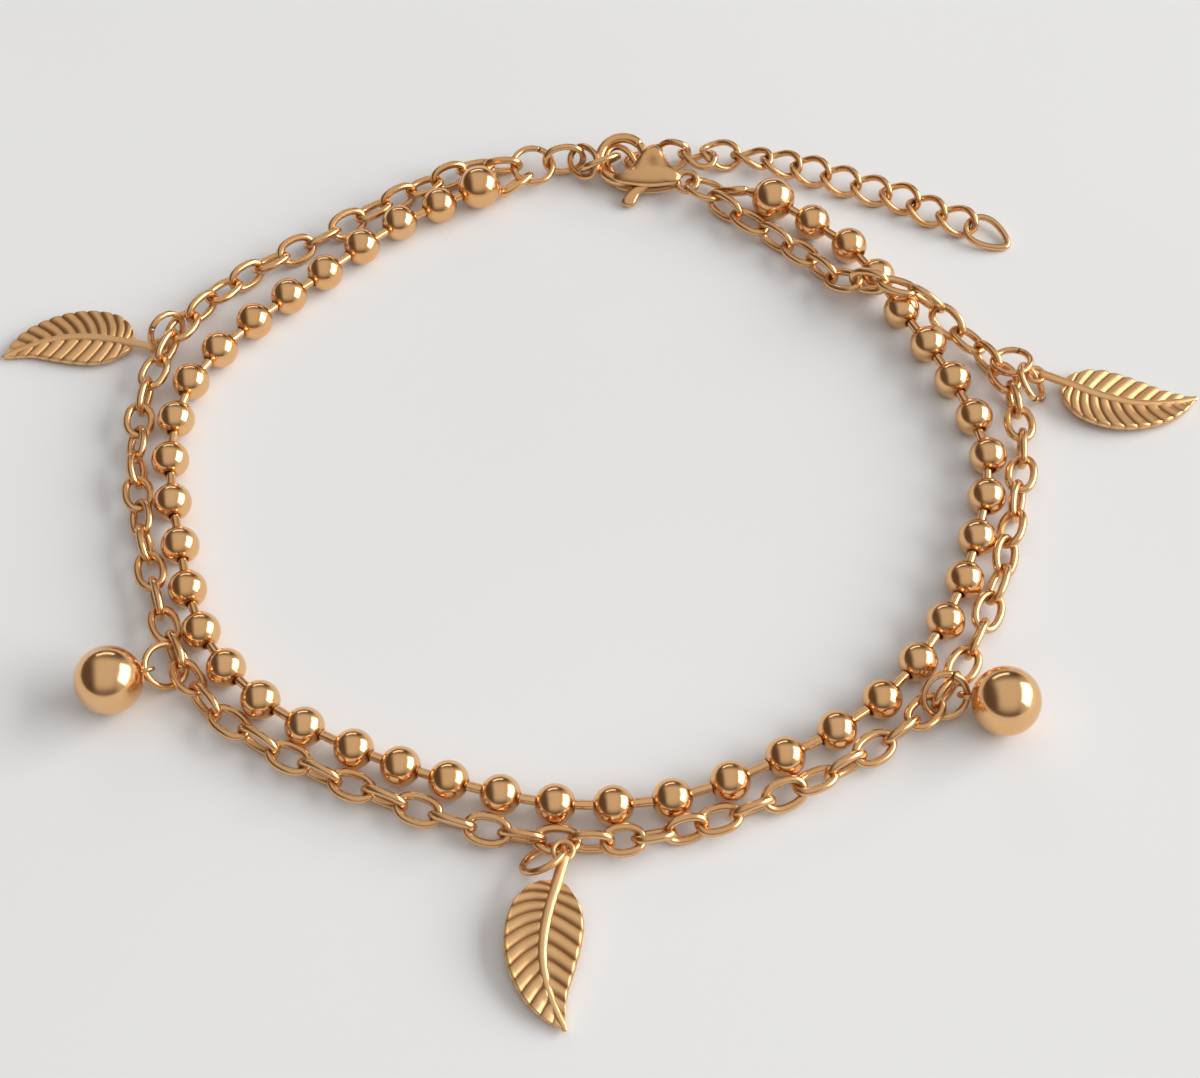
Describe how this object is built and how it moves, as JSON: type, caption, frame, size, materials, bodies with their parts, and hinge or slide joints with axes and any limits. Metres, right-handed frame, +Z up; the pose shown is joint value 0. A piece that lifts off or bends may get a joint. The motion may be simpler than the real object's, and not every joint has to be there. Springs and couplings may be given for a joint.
{
  "type": "charm anklet",
  "caption": "Two-strand charm anklet: a string of polished balls and an oval-link cable chain with leaf and ball charms, a lobster clasp and an extender chain",
  "frame": {"origin": "centre of the bottom of the bounding box, on the surface that the anklet lies on", "axes": "+Z up from the surface; +Y towards the clasp; +X to the wearer's right-hand side of the laid-out loop, the side that the extender lies on"},
  "size_m": [0.1133, 0.0958, 0.0061],
  "materials": {
    "polished_ball": "polished rose-gold plating on balls",
    "polished_link": "polished rose-gold plating on wire links and rings",
    "satin_leaf": "satin rose-gold plating on cast leaves",
    "satin_clasp": "satin rose-gold plating on the cast clasp",
    "pin_steel": "bare pin end"
  },
  "bodies": {
    "anklet": {"ball_end_left": "polished_ball", "ball_end_right": "polished_ball", "ball_left": "polished_ball", "ball_right": "polished_ball", "ball_ring_left": "polished_link", "ball_ring_right": "polished_link", "ball_run_1": "polished_ball", "ball_run_2": "polished_ball", "ball_run_3": "polished_ball", "ball_run_4": "polished_ball", "ball_run_5": "polished_ball", "ball_run_6": "polished_ball", "cable_run_1": "polished_link", "cable_run_2": "polished_link", "cable_run_3": "polished_link", "cable_run_4": "polished_link", "cable_run_5": "polished_link", "cable_run_6": "polished_link", "clasp_body": "satin_clasp", "clasp_pin": "pin_steel", "clasp_ring": "polished_link", "end_link": "polished_link", "extender_link_01": "polished_link", "extender_link_02": "polished_link", "extender_link_03": "polished_link", "extender_link_04": "polished_link", "extender_link_05": "polished_link", "extender_link_06": "polished_link", "extender_link_07": "polished_link", "extender_link_08": "polished_link", "extender_link_09": "polished_link", "extender_link_10": "polished_link", "extender_link_11": "polished_link", "extender_link_12": "polished_link", "extender_link_13": "polished_link", "extender_link_14": "polished_link", "extender_link_15": "polished_link", "extender_link_16": "polished_link", "leaf_front": "satin_leaf", "leaf_left": "satin_leaf", "leaf_right": "satin_leaf", "leaf_ring_front": "polished_link", "leaf_ring_left": "polished_link", "leaf_ring_right_1": "polished_link", "leaf_ring_right_2": "polished_link", "strand_ring": "polished_link"},
    "lever": {"clasp_lever": "satin_clasp"}
  },
  "joints": [
    {"name": "clasp_lever_hinge", "type": "hinge", "parent": "anklet", "child": "lever", "pos_m": [0.00706, 0.04362, 0.00229], "axis": [-0.0906, -0.3635, 0.9272], "range_deg": [0, 25], "stiffness_Nm_per_rad": 0.0005, "springref_deg": -20.05}
  ]
}
